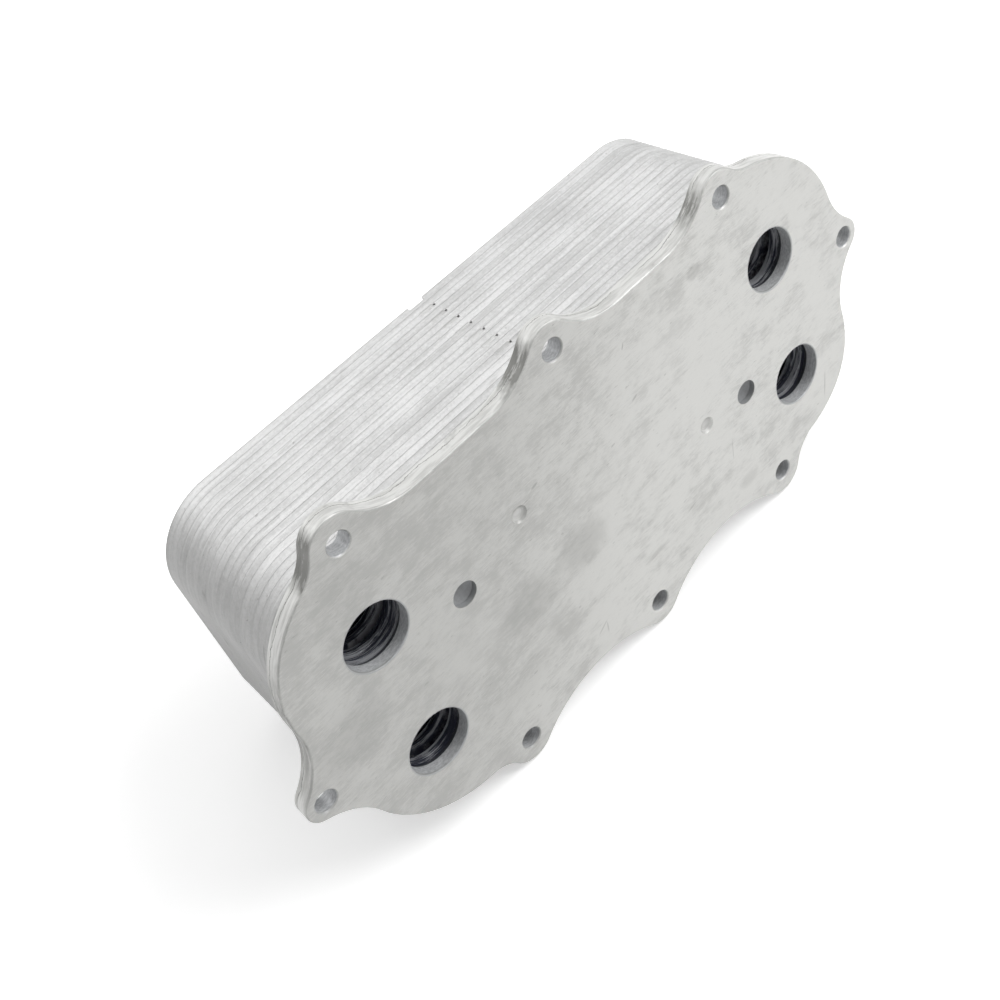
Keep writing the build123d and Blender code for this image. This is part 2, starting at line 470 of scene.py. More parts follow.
@dataclass(frozen=True)
class RolledPlate:
    """Mill-finished plate of the flange: rolling grain, washed patches, flecks and a sheared rim,
    with painted shade at the face's lower left end, on the rim's left flanks and in the holes.

    Spans and reaches on the plate are in millimetres. Weights are in the order in which the
    noises are named where they are used.
    """

    tone: Colour = (0.50, 0.50, 0.485)
    pale: Colour = (0.665, 0.665, 0.645)
    dark: Colour = (0.30, 0.30, 0.29)
    rim_tone: Colour = (0.66, 0.66, 0.645)
    rim_dark: Colour = (0.14, 0.14, 0.13)
    bored_dark: Colour = (0.36, 0.37, 0.38)
    bored_pale: Colour = (0.66, 0.67, 0.68)
    # Painted shade in the blind holes.
    blind_shade_tone: Colour = (0.30, 0.305, 0.31)
    # Painted shade at the top of the small holes.
    wedge_shade_tone: Colour = (0.09, 0.09, 0.09)
    # Painted shade on the port walls behind the seam.
    deep_port_shade_tone: Colour = (0.02, 0.022, 0.03)
    darkest: float = 0.9

    roughness: float = 0.46
    roughness_weights: Sequence[float] = (0.18, 0.16)
    rim_polish: float = 0.04
    metallic: float = 0.4
    wall_dullness: float = 0.25
    bump: float = 0.4
    relief: float = 0.15 * MM

    # Noises of the face.
    cloud: Noise = Noise(scale=0.03)
    smudge: Noise = Noise((0.07, 0.2, 0.12), octaves=8.0, rough=0.72)
    streak: Noise = Noise((0.06, 0.5, 0.8), octaves=5.0, rough=0.7)
    grain: Noise = Noise((0.22, 2.0, 2.8), rough=0.8)
    hair: Noise = Noise((0.13, 0.5, 2.6), octaves=5.0, rough=0.85)
    level: float = 0.80
    level_weights: Sequence[float] = (1.9, 3.3, 1.1, 2.7)
    height_weights: Sequence[float] = (0.4, 0.3, 0.3, -0.4)
    wander: Noise = Noise(scale=0.25)
    wander_size: float = 0.9

    # The face darkens towards its lower left end: painted shade.
    painted_end_lean: float = 0.5
    painted_end_span: Span = (40.0, -90.0)
    painted_end_fall: float = 0.3
    painted_end_shade: float = 0.34

    # Dark flecks and scratches, and pale rubbed lines where the face is worn.
    flecks: Patches = Patches(Noise((0.22, 1.0, 0.75), octaves=2.0, rough=0.5), (0.685, 0.74), 0.5)
    pins: Patches = Patches(Noise((0.9, 1.0, 1.2), octaves=1.0, rough=0.5), (0.80, 0.83), 0.5)
    worn_span: Span = (0.42, 0.58)
    scratch_span: Span = (0.56, 0.66)
    scratch_depth: float = 0.42
    rubbed_span: Span = (0.40, 0.26)
    rubbed_depth: float = 0.5

    # The edge that the punch rolled over, and the sheared rim behind it.
    rolled_start: Span = (0.02, 0.12)
    rolled_end: Span = (1.0, 0.7)
    rolled_wear: Patches = Patches(Noise(scale=0.05, rough=0.65), (0.40, 0.56), 0.55)
    rim_span: Span = (0.15, 0.5)
    band: Noise = Noise((0.08, 0.7, 0.08))
    band_span: Span = (0.35, 0.6)
    stain: Noise = Noise(scale=0.06, rough=0.65)
    stain_span: Span = (0.56, 0.68)
    stain_depth: float = 0.55
    scuffs: Patches = Patches(Noise((0.12, 0.7, 0.12), octaves=6.0, rough=0.7), (0.22, 0.60))
    rim_height_weights: Sequence[float] = (0.35, 0.4, 0.6, -1.0)

    # The brazed seam between the two layers.
    seam_depth: float = 4.8
    seam_wobble: Noise = Noise(scale=0.06, octaves=5.0, rough=0.7)
    seam_wobble_size: float = 5.0
    seam_open: Patches = Patches(Noise(scale=0.05, octaves=2.0, rough=0.5), (0.36, 0.46))
    seam_width: Span = (0.2, 0.05)
    seam_step: float = 0.3
    seam_shade: float = 0.85

    # Walls of the holes, with painted shade behind the seam in the ports, in the blind holes and at
    # the top of the small holes.
    lip_reach: float = 12.8
    lip_shade: float = 0.8
    port_reach: float = 14.2
    blind_reach: float = 5.6
    bolt_reach: float = 5.2
    tool: Noise = Noise((0.7, 1.5, 0.7), octaves=6.0, rough=0.7)
    bored_span: Span = (0.25, 0.75)
    blind_span: Span = (0.3, 0.7)
    # Painted shade on the port walls behind the seam.
    deep_port_shade_edge: float = 0.15
    deep_port_shade_strength: float = 0.93
    # Painted shade in a wedge at the top of each small hole.
    wedge_shade_way: Point = (0.5, 0.87)
    wedge_shade_reach: Span = (6.0, 5.4)
    wedge_shade_narrowing: float = 1.3
    wedge_shade_span: Span = (-1.5, 2.2)
    wedge_shade_strength: float = 0.7

    marks: Sequence[Mark] = (
        Mark(63, 53, 8, 5, 10, 0.30, 0.35),
        Mark(-122, 3, 28, 20, 20, 0.30, 0.6),
        Mark(-48, -13, 24, 20, 0, 0.34, 0.5),
        Mark(-20, -10, 22, 19, 0, 0.36, 0.5),
        Mark(-104, 52, 30, 16, 70, 0.16, 0.8),
        Mark(-60, -40, 50, 14, 10, 0.12, 0.8),
        Mark(62, -55, 10, 6, 0, 0.25, 0.5),
        Mark(8, -45, 9, 2.4, 5, 0.30, 0.5),
        Mark(-28, 30, 3.2, 1.1, 12, 0.65, 0.4),
        Mark(22, 27, 3.0, 0.9, 20, 0.55, 0.4),
        Mark(24, 50, 2.6, 0.6, 60, 0.6, 0.4),
        Mark(114, -48, 12, 0.6, 75, 0.45, 0.4),
        Mark(-25, -53, 6, 0.6, 30, 0.45, 0.4),
        Mark(-23, -55, 5, 0.6, 80, 0.40, 0.4),
        Mark(58, -34, 9, 0.5, 78, 0.35, 0.4),
        Mark(31, -41, 5, 0.6, 12, 0.4, 0.4),
    )
    washes: Sequence[Mark] = (
        Mark(45, -53, 34, 14, 5, 0.35, 0.7),
        Mark(120, -8, 9, 26, 0, 0.6, 0.6),
        Mark(-75, -5, 30, 26, 0, 0.35, 0.8),
        Mark(20, 5, 60, 16, -4, 0.35, 0.8),
        Mark(40, 35, 50, 22, 6, 0.35, 0.8),
    )
    # Painted shade on the left flanks of the lobes and at the left end of the rim.
    rim_flank_shades: Sequence[Mark] = (
        Mark(-107, 73, 12, 17, 10, 1.5, 0.9),
        Mark(-13.5, 72, 12, 15, 15, 1.3, 0.9),
        Mark(73, 72, 12, 15, 15, 1.0, 0.9),
        Mark(-137, 20, 14, 60, 0, 0.75, 0.9),
        Mark(-80, -68, 14, 30, 0, 0.5, 0.9),
    )

    def material(self) -> bpy.types.Material:
        """Build the finish.

        Returns:
            The material.
        """
        graph = Graph(bpy.data.materials.new("rolled_plate"))
        spot = graph.spot()
        cloud, smudge = graph.noise(self.cloud), graph.noise(self.smudge)
        wander = (graph.noise(self.wander) - NOISE_MIDDLE) * self.wander_size
        face, face_height = self.face(graph, spot, cloud, smudge, wander)
        rim, rim_height = self.rim(graph, spot, wander)
        rim, walls = self.bore(graph, spot, rim)

        is_rim = graph.ramp(spot.y, *self.rim_span)
        rolled = graph.ramp(spot.y, *self.rolled_start) * graph.ramp(spot.y, *self.rolled_end)
        colour = graph.blend(is_rim, face, rim)
        colour = graph.blend(rolled * self.rolled_wear.mask(graph), colour, self.dark)

        walls = walls * is_rim
        rough = vary(self.roughness, (smudge, cloud), self.roughness_weights)
        rough = rough - is_rim * self.rim_polish
        metallic = self.metallic - walls * self.wall_dullness
        height = face_height * (1.0 - is_rim) + rim_height * is_rim * (1.0 - walls)
        graph.metal(colour, rough, metallic, graph.bump(height, self.bump, self.relief))
        return graph.owner

    def face(
        self, graph: Graph, spot: Spot, cloud: Signal, smudge: Signal, wander: Signal
    ) -> tuple[Signal, Signal]:
        """Colour and relief of the rolled faces, with painted shade towards their lower left end.

        Args:
            graph: Graph to build in.
            spot: Place in millimetres.
            cloud: Broad noise.
            smudge: Noise drawn out along the plate.
            wander: Noise that roughens edges.

        Returns:
            The colour, and a height for the bump.
        """
        streak, grain = graph.noise(self.streak), graph.noise(self.grain)
        # Painted shade: the face darkens towards its lower left end.
        end = graph.ramp(spot.x - spot.z * self.painted_end_lean, *self.painted_end_span)
        level = vary(self.level, (cloud, smudge, streak, grain), self.level_weights)
        level = level - end * self.painted_end_fall
        colour = graph.blend(graph.ramp(level, 0.0, 1.0), self.tone, self.pale)

        worn = graph.ramp(smudge, *self.worn_span)
        hair = graph.noise(self.hair)
        paler = graph.ramp(hair, *self.rubbed_span) * worn * self.rubbed_depth
        paler = paler + mask_marks(graph, self.washes, spot, wander)
        darker = graph.ramp(hair, *self.scratch_span) * worn * self.scratch_depth
        darker = darker + self.flecks.mask(graph) + self.pins.mask(graph)
        darker = darker + mask_marks(graph, self.marks, spot, wander)
        colour = graph.blend(paler.least(1.0), colour, self.pale)
        colour = graph.blend(darker.least(self.darkest), colour, self.dark)
        # Painted shade towards the lower left end, laid over the colour.
        colour = graph.blend(end * self.painted_end_shade, colour, self.dark)
        lip = graph.near(spot, PORTS, self.lip_reach) * self.lip_shade
        colour = graph.blend(lip, colour, self.bored_dark)
        return colour, weigh((streak, grain, smudge, darker), self.height_weights)

    def rim(self, graph: Graph, spot: Spot, wander: Signal) -> tuple[Signal, Signal]:
        """Colour and relief of the sheared rim, with stains, painted shade on its left flanks and
        the brazed seam between the two layers.

        Args:
            graph: Graph to build in.
            spot: Place in millimetres.
            wander: Noise that roughens edges.

        Returns:
            The colour, and a height for the bump.
        """
        band, stain = graph.noise(self.band), graph.noise(self.stain)
        colour = graph.blend(graph.ramp(band, *self.band_span), self.tone, self.rim_tone)
        stain_and_shade = graph.ramp(stain, *self.stain_span) * self.stain_depth
        # Stains, with painted shade on the left flanks, patched by the scuffs.
        stain_and_shade = stain_and_shade + mask_marks(graph, self.rim_flank_shades, spot, wander)
        stain_and_shade = (stain_and_shade * self.scuffs.mask(graph)).least(self.darkest)
        colour = graph.blend(stain_and_shade, colour, self.rim_dark)

        wobble = (graph.noise(self.seam_wobble) - NOISE_MIDDLE) * self.seam_wobble_size
        depth = spot.y + wobble
        crack = graph.ramp(abs(depth - self.seam_depth), *self.seam_width)
        crack = crack * self.seam_open.mask(graph)
        colour = graph.blend(crack * self.seam_shade, colour, self.rim_dark)
        step = graph.ramp(depth, self.seam_depth, self.seam_depth + self.seam_step)
        return colour, weigh((band, step, stain, crack), self.rim_height_weights)

    def bore(self, graph: Graph, spot: Spot, rim: Signal) -> tuple[Signal, Signal]:
        """Colour of the walls of the holes, laid over that of the rim, with painted shade deep in
        the ports, in the blind holes and at the top of the small holes.

        Args:
            graph: Graph to build in.
            spot: Place in millimetres.
            rim: Colour of the rim.

        Returns:
            The colour, and a mask of the holes.
        """
        port = graph.near(spot, PORTS, self.port_reach)
        bolt = graph.near(spot, BOLT_HOLES, self.bolt_reach)
        blind = graph.near(spot, LOCATING_HOLES, self.blind_reach)
        tool = graph.noise(self.tool)
        bored = graph.blend(graph.ramp(tool, *self.bored_span), self.bored_dark, self.bored_pale)
        colour = graph.blend(port.most(bolt), rim, bored)
        # Painted shade: the port walls behind the seam go near black.
        deep_port_shade = port * graph.ramp(spot.y, self.seam_depth - self.deep_port_shade_edge, self.seam_depth)
        colour = graph.blend(deep_port_shade * self.deep_port_shade_strength, colour, self.deep_port_shade_tone)
        # Painted shade in the blind holes, over milling marks from the tool noise.
        blind_hole_shade = graph.blend(graph.ramp(tool, *self.blind_span), self.blind_shade_tone, self.bored_dark)
        colour = graph.blend(blind, colour, blind_hole_shade)
        # Painted shade in the upper part of the small holes.
        small = bolt.most(blind)
        painted_wedge_shade = small * self.painted_wedge_shade(graph, spot) * self.wedge_shade_strength
        colour = graph.blend(painted_wedge_shade, colour, self.wedge_shade_tone)
        return colour, small.most(port)

    def painted_wedge_shade(self, graph: Graph, spot: Spot) -> Signal:
        """Mask of a wedge of painted shade in the upper part of each small hole.

        Args:
            graph: Graph to build in.
            spot: Place in millimetres.

        Returns:
            The mask.
        """
        way_x, way_z = self.wedge_shade_way
        wedges = []
        for hole_x, hole_z in LOCATING_HOLES + BOLT_HOLES:
            right, up = spot.x - hole_x, spot.z - hole_z
            inside = graph.ramp(graph.length(right, up), *self.wedge_shade_reach)
            along, across = right * way_x + up * way_z, right * way_z - up * way_x
            wedge = graph.ramp(along - abs(across) * self.wedge_shade_narrowing, *self.wedge_shade_span)
            wedges.append(inside * wedge)
        return weigh(wedges, [1.0] * len(wedges))


@dataclass(frozen=True)
class BrazedSheet:
    """Clad core sheet after the furnace: dull and mottled, with painted shade at its ends and
    inside the ports.

    Lengths are in millimetres. Weights are in the order in which the noises are named where they
    are used.
    """

    name: str = "brazed_sheet"
    tone: Colour = (0.47, 0.47, 0.468)
    pale: Colour = (0.66, 0.66, 0.658)
    dark: Colour = (0.26, 0.26, 0.255)
    inside: Colour = (0.56, 0.57, 0.60)
    gallery_shade_tone: Colour = (0.05, 0.055, 0.08)
    darkest: float = 0.9
    roughness: float = 0.40
    roughness_weights: Sequence[float] = (0.25, 0.2)
    metallic: float = 0.35
    bump: float = 0.6
    relief: float = 0.5 * MM

    cloud: Noise = Noise(scale=0.04)
    run: Noise = Noise((0.10, 1.1, 0.10), octaves=5.0, rough=0.65)
    plate: Noise = Noise((0.012, 0.42, 0.012), octaves=2.0)
    sparkle: Noise = Noise(scale=0.75, octaves=5.0, rough=0.8)
    level: float = 0.5
    level_weights: Sequence[float] = (1.0, 1.1, 1.5, 1.6)
    height_weights: Sequence[float] = (0.4, 0.55, 0.3, -1.0, -0.4)
    specks: Patches = Patches(Noise(scale=0.5, octaves=2.0, rough=0.5), (0.73, 0.78), 0.45)
    stains: Patches = Patches(Noise((0.03, 0.2, 0.06), rough=0.65), (0.60, 0.72), 0.42)

    # Joints between the lips, drawn as lines of painted shade.
    pitch: float = 3.6
    first_lip: float = 11.54
    joint_width: Span = (0.11, 0.03)
    joint_wobble: float = 0.35
    joint_shade: float = 0.30

    # Painted shade at the ends, most of all at the bottom.
    painted_end_span: Span = (108.0, 128.0)
    painted_end_shade: float = 0.46
    painted_low_span: Span = (40.0, -20.0)
    painted_low_shade: float = 0.28

    # Walls of the galleries behind the ports, as far as the inside of the end plate, in painted
    # shade: near-black bands between pale ones.
    gallery_reach: float = 16.8
    gallery_end: Span = (79.3, 78.9)
    ring: Noise = Noise((0.04, 0.55, 0.04), octaves=8.0, rough=0.7)
    ring_span: Span = (0.46, 0.56)

    def material(self) -> bpy.types.Material:
        """Build the finish.

        Returns:
            The material.
        """
        graph = Graph(bpy.data.materials.new(self.name))
        spot = graph.spot()
        cloud, plate = graph.noise(self.cloud), graph.noise(self.plate)
        run, sparkle = graph.noise(self.run), graph.noise(self.sparkle)
        level = vary(self.level, (cloud, run, plate, sparkle), self.level_weights)
        colour = graph.blend(graph.ramp(level, 0.0, 1.0), self.tone, self.pale)

        speck = self.specks.mask(graph)
        # Lines of painted shade where the lips step down.
        joint = self.joint(graph, spot, (run - NOISE_MIDDLE) * self.joint_wobble)
        # Painted shade at both ends of the stack, deepest at the bottom; it joins the specks,
        # stains and joint lines.
        low = graph.ramp(spot.z, *self.painted_low_span) * self.painted_low_shade
        end = graph.ramp(abs(spot.x), *self.painted_end_span) * (low + self.painted_end_shade)
        dirt_and_shade = speck + joint * self.joint_shade + self.stains.mask(graph) + end
        colour = graph.blend(dirt_and_shade.least(self.darkest), colour, self.dark)

        # Painted shade inside the ports: near-black bands between pale ones.
        ring = graph.ramp(graph.noise(self.ring), *self.ring_span)
        gallery = graph.near(spot, PORTS, self.gallery_reach)
        gallery = gallery * graph.ramp(spot.y, *self.gallery_end)
        colour = graph.blend(gallery, colour, graph.blend(ring, self.gallery_shade_tone, self.inside))

        rough = vary(self.roughness, (run, sparkle), self.roughness_weights)
        height = weigh((run, sparkle, cloud, speck, joint), self.height_weights)
        graph.metal(colour, rough, self.metallic, graph.bump(height, self.bump, self.relief))
        return graph.owner

    def joint(self, graph: Graph, spot: Spot, wobble: Signal) -> Signal:
        """Thin line of painted shade where one plate's lip ends on the next.

        Args:
            graph: Graph to build in.
            spot: Place in millimetres.
            wobble: Noise that moves the line a little.

        Returns:
            The mask of the lines.
        """
        turns = (spot.y + wobble - self.first_lip) * (1.0 / self.pitch)
        phase = graph.math("FRACT", turns + 0.5)
        return graph.ramp(abs(phase - 0.5), *self.joint_width)


@dataclass(frozen=True)
class FinFoil:
    """Thin fin stock of the turbulators, darkened by flux."""

    tone: Colour = (0.22, 0.22, 0.23)
    pale: Colour = (0.36, 0.36, 0.37)
    cloud: Noise = Noise(scale=0.12)
    cloud_span: Span = (0.3, 0.7)
    grain: Noise = Noise((2.0, 2.0, 0.2), octaves=3.0)
    roughness: float = 0.5
    roughness_weight: float = 0.2
    metallic: float = 0.9
    bump: float = 0.3
    relief: float = 0.08 * MM

    def material(self) -> bpy.types.Material:
        """Build the finish.

        Returns:
            The material.
        """
        graph = Graph(bpy.data.materials.new("fin_foil"))
        grain = graph.noise(self.grain)
        cloud = graph.ramp(graph.noise(self.cloud), *self.cloud_span)
        colour = graph.blend(cloud, self.tone, self.pale)
        rough = vary(self.roughness, [grain], [self.roughness_weight])
        graph.metal(colour, rough, self.metallic, graph.bump(grain, self.bump, self.relief))
        return graph.owner


@dataclass(frozen=True)
class StudioFloor:
    """White sweep that takes a soft shadow and can be looked through from below."""

    tone: Colour = (0.9, 0.9, 0.9)
    pale: Colour = (0.92, 0.92, 0.92)
    paper: Noise = Noise(scale=0.4, octaves=3.0, rough=0.5)
    paper_depth: float = 0.2
    lift: float = 0.36

    def material(self) -> bpy.types.Material:
        """Build the finish.

        Returns:
            The material.
        """
        graph = Graph(bpy.data.materials.new("studio_floor"))
        paper = graph.noise(self.paper) * self.paper_depth
        cloth = graph.node("BsdfDiffuse", None, {"Color": graph.blend(paper, self.tone, self.pale)})
        lift = graph.rays("Is Camera Ray", "Is Glossy Ray") * self.lift
        glow = graph.node("Emission", None, {"Color": WHITE, "Strength": lift})
        lit = graph.node("AddShader", None, {0: cloth, 1: glow})
        clear = graph.node("BsdfTransparent")
        behind = graph.node("NewGeometry", output="Backfacing")
        graph.close(graph.node("MixShader", None, {0: behind, 1: lit, 2: clear}))
        return graph.owner


# --- Bench work -----------------------------------------------------------------------------------


def clear_selection() -> None:
    """Leave edit mode and deselect every object."""
    if bpy.context.mode != "OBJECT":
        bpy.ops.object.mode_set(mode="OBJECT")
    bpy.ops.object.select_all(action="DESELECT")


def take(piece: bpy.types.Object) -> None:
    """Make one object the only selected and active one.

    Args:
        piece: The object.
    """
    clear_selection()
    piece.select_set(True)
    bpy.context.view_layer.objects.active = piece


def settle(piece: bpy.types.Object) -> None:
    """Put an object's place, turn and scale into its mesh."""
    take(piece)
    bpy.ops.object.transform_apply(location=True, rotation=True, scale=True)


def open_mesh(piece: bpy.types.Object) -> None:
    """Enter edit mode on an object, with all of its mesh selected.

    Args:
        piece: The object to edit.
    """
    take(piece)
    bpy.ops.object.mode_set(mode="EDIT")
    bpy.ops.mesh.select_all(action="SELECT")


def pick_faces(piece: bpy.types.Object, wanted: Callable[[bmesh.types.BMFace], bool]) -> None:
    """Select faces of the mesh in edit mode.

    Args:
        piece: The object being edited.
        wanted: Test that a face passes to be selected.
    """
    bpy.ops.mesh.select_mode(type="FACE")
    bpy.ops.mesh.select_all(action="DESELECT")
    mesh = bmesh.from_edit_mesh(piece.data)
    for face in mesh.faces:
        if wanted(face):
            face.select_set(True)
    bmesh.update_edit_mesh(piece.data)


def finish_modifier(piece: bpy.types.Object, kind: str, settings: dict[str, Any]) -> None:
    """Add a modifier and apply it.

    Args:
        piece: The object.
        kind: Modifier type.
        settings: Its properties.
    """
    take(piece)
    made = piece.modifiers.new(kind.lower(), kind)
    for name, value in settings.items():
        setattr(made, name, value)
    bpy.ops.object.modifier_apply(modifier=made.name)


def cut_out(piece: bpy.types.Object, tool: bpy.types.Object) -> None:
    """Cut one object out of another and remove the tool.

    Args:
        piece: The object to cut.
        tool: The cutter.
    """
    finish_modifier(piece, "BOOLEAN", {"object": tool, "operation": "DIFFERENCE"})
    bpy.data.objects.remove(tool)


def join(pieces: Sequence[bpy.types.Object]) -> bpy.types.Object:
    """Join objects into the first of them.

    Args:
        pieces: The objects.

    Returns:
        The first object, which now holds them all.
    """
    for piece in pieces:
        settle(piece)
    clear_selection()
    for piece in pieces:
        piece.select_set(True)
    bpy.context.view_layer.objects.active = pieces[0]
    bpy.ops.object.join()
    return pieces[0]


def copy_along(piece: bpy.types.Object, name: str, shift_y: float) -> bpy.types.Object:
    """Copy of an object with its own mesh, moved through the stack.

    Args:
        piece: The object to copy.
        name: Name of the copy.
        shift_y: How far it moves along Y, in metres.

    Returns:
        The copy.
    """
    made = piece.copy()
    made.data = piece.data.copy()
    made.name = name
    made.data.name = name
    bpy.context.scene.collection.objects.link(made)
    made.location = (0.0, shift_y, 0.0)
    settle(made)
    return made


def dress_node(name: str, material: bpy.types.Material) -> None:
    """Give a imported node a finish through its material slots.

    Args:
        name: The node.
        material: Its finish.
    """
    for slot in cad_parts[name].material_slots:
        slot.material = material
    log.info("dressed %s with %s", name, material.name)


def dress_sheet(piece: bpy.types.Object, material: bpy.types.Material) -> None:
    """Smooth a new piece of the stack, give it its finish and let it ride on the cooler.

    Args:
        piece: The new piece.
        material: Its finish.
    """
    take(piece)
    bpy.ops.object.shade_smooth_by_angle(angle=SMOOTH_ANGLE)
    piece.data.materials.clear()
    piece.data.materials.append(material)
    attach(piece, BODY)
    log.info("made %s, %d faces", piece.name, len(piece.data.polygons))


def quarter_turn(steps: int) -> list[Span]:
    """Angles at which each of the equal steps of a quarter turn starts and stops."""
    angles = [math.pi / 2 * step / steps for step in range(steps + 1)]
    return list(zip(angles, angles[1:]))


# --- Sub-assemblies -------------------------------------------------------------------------------


@dataclass
class Flange:
    """The mounting flange: two layers and the base plate that closes the stack's front."""

    plate: RolledPlate = field(default_factory=RolledPlate)
    sheet: BrazedSheet = field(default_factory=lambda: BrazedSheet(name="base_sheet"))

    def build(self) -> None:
        """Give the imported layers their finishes."""
        plate = self.plate.material()
        dress_node("front_flange_layer", plate)
        dress_node("rear_flange_layer", plate)
        dress_node("base_plate", self.sheet.material())


@dataclass
class Turbulators:
    """Corrugated fins in the channels."""

    foil: FinFoil = field(default_factory=FinFoil)

    def build(self) -> None:
        """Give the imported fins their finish."""
        foil = self.foil.material()
        for fluid in Fluid:
            for name in sorted(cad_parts):
                if name.startswith(f"{fluid.value}_turbulator_"):
                    dress_node(name, foil)


@dataclass
class PlateStack:
    """The nested dished plates, with the filler fillets between them. Sizes in metres."""

    # Pressed plates. Steps are the rows of faces round a bend or up a rim.
    pitch: float = 3.6 * MM
    sheet: float = 0.8 * MM
    end_sheet: float = 1.2 * MM
    braze_gap: float = 0.02 * MM
    rim_overlap: float = 1.5 * MM
    corner_radius: float = 28 * MM
    corner_steps: int = 18
    rim_steps: int = 4
    press_radius: float = 0.9 * MM
    press_steps: int = 4
    lip_roll: float = 0.28 * MM
    lip_steps: int = 3
    lip_angle: float = math.radians(50)

    # Ports and the collars that close two of them off from each channel.
    port_radius: float = 13.0 * MM
    port_steps: int = 64
    collar_width: float = 3.2 * MM
    collar_edge: float = 0.6 * MM
    collar_edge_steps: int = 3
    weld_distance: float = 0.01 * MM

    # Assembly notch in the upper lip of every second plate.
    notch_width: float = 7.5 * MM
    notch_depth: float = 1.5 * MM
    notch_x: float = -0.8 * MM
    notch_edge: float = 0.5 * MM
    notch_edge_steps: int = 3
    cutter_depth: float = 3.2 * MM

    # Filler metal: the fillet behind a lip, and the pad in a notch.
    fillet: float = 0.7 * MM
    fillet_steps: int = 5
    fillet_inset: float = 0.32 * MM
    fillet_start: float = 0.1 * MM
    fillet_wall: float = 0.3 * MM
    pinhole: float = 1.0 * MM
    pad_overhang: float = 0.3 * MM
    pad_sink: float = 0.336 * MM
    pad_cuts: int = 5
    pad_ripple: float = 0.05 * MM
    pad_seed: int = 4
    pad_edge: float = 0.18 * MM
    pad_edge_steps: int = 2

    finish: BrazedSheet = field(default_factory=BrazedSheet)
    filler: BrazedSheet = field(
        default_factory=lambda: BrazedSheet(
            name="braze_filler", tone=(0.43, 0.43, 0.425), pale=(0.60, 0.60, 0.595), roughness=0.38
        )
    )

    half_x: float = field(init=False)
    half_z: float = field(init=False)
    depth: float = field(init=False)
    end_front: float = field(init=False)
    count: int = field(init=False)
    slope: float = field(init=False)

    def __post_init__(self) -> None:
        """Read the stack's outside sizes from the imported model."""
        low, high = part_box("end_plate")
        self.half_x = (high.x - low.x) / 2
        self.half_z = (high.z - low.z) / 2
        self.depth = high.y - low.y
        self.end_front = low.y
        self.count = sum(1 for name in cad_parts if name.startswith("core_plate_"))
        self.slope = (self.sheet + self.braze_gap) / self.pitch

    def rounded_face(self, name: str, inset: float, y: float) -> bpy.types.Object:
        """Draw a flat rounded rectangle of the stack's outline, facing the mounting side.

        Args:
            name: Name of the object.
            inset: How far it lies inside the outline of the lips.
            y: Where it lies.

        Returns:
            The object, with one face, open for editing.
        """
        clear_selection()
        bpy.ops.mesh.primitive_plane_add(size=2.0, location=(0, y, 0), rotation=(math.pi / 2, 0, 0))
        piece = bpy.context.active_object
        piece.name = name
        piece.scale = (self.half_x - inset, self.half_z - inset, 1.0)
        settle(piece)
        open_mesh(piece)
        bpy.ops.mesh.bevel(
            offset=self.corner_radius - inset,
            offset_type="OFFSET",
            segments=self.corner_steps,
            profile=0.5,
            affect="VERTICES",
        )
        return piece

    @staticmethod
    def step(inward: float, forward: float) -> None:
        """Draw the selected face inwards and towards the mounting side."""
        bpy.ops.mesh.inset(thickness=inward, depth=forward, use_even_offset=True)

    def shell(self, name: str, web: float) -> bpy.types.Object:
        """Press a dished sheet with a rounded corner and a rolled lip, at the end plate's place.

        Args:
            name: Name of the object.
            web: Thickness of the sheet.

        Returns:
            The object.
        """
        piece = self.rounded_face(name, 0.0, self.end_front + self.depth)
        rise = (self.depth - self.press_radius) / self.rim_steps
        for _ in range(self.rim_steps):
            self.step(self.slope * rise, rise)
        for start, stop in quarter_turn(self.press_steps):
            inward = self.press_radius * (math.cos(start) - math.cos(stop))
            self.step(inward, self.press_radius * (math.sin(stop) - math.sin(start)))
        bpy.ops.object.mode_set(mode="OBJECT")
        wall = {"thickness": web, "offset": -1.0, "use_even_offset": True}
        finish_modifier(piece, "SOLIDIFY", wall)
        lip = {"width": self.lip_roll, "segments": self.lip_steps, "limit_method": "ANGLE"}
        finish_modifier(piece, "BEVEL", {**lip, "angle_limit": self.lip_angle})
        return piece

    def notch_tool(self) -> bpy.types.Object:
        """Model the cutter for the assembly notch in the upper lip.

        Returns:
            The cutter.
        """
        clear_selection()
        place = (self.notch_x, self.end_front + self.depth, self.half_z)
        bpy.ops.mesh.primitive_cube_add(size=1.0, location=place)
        tool = bpy.context.active_object
        tool.scale = (self.notch_width, 2 * self.notch_depth, self.cutter_depth)
        settle(tool)
        edge = {"width": self.notch_edge, "segments": self.notch_edge_steps}
        finish_modifier(tool, "BEVEL", edge)
        return tool

    def ports_tool(self) -> bpy.types.Object:
        """Model the cutter for the four ports.

        Returns:
            The cutter.
        """
        tools = []
        for x, z in PORTS:
            clear_selection()
            bpy.ops.mesh.primitive_cylinder_add(
                vertices=self.port_steps,
                radius=self.port_radius,
                depth=self.cutter_depth,
                location=(x * MM, self.end_front, z * MM),
                rotation=(math.pi / 2, 0, 0),
            )
            tools.append(bpy.context.active_object)
        return join(tools)

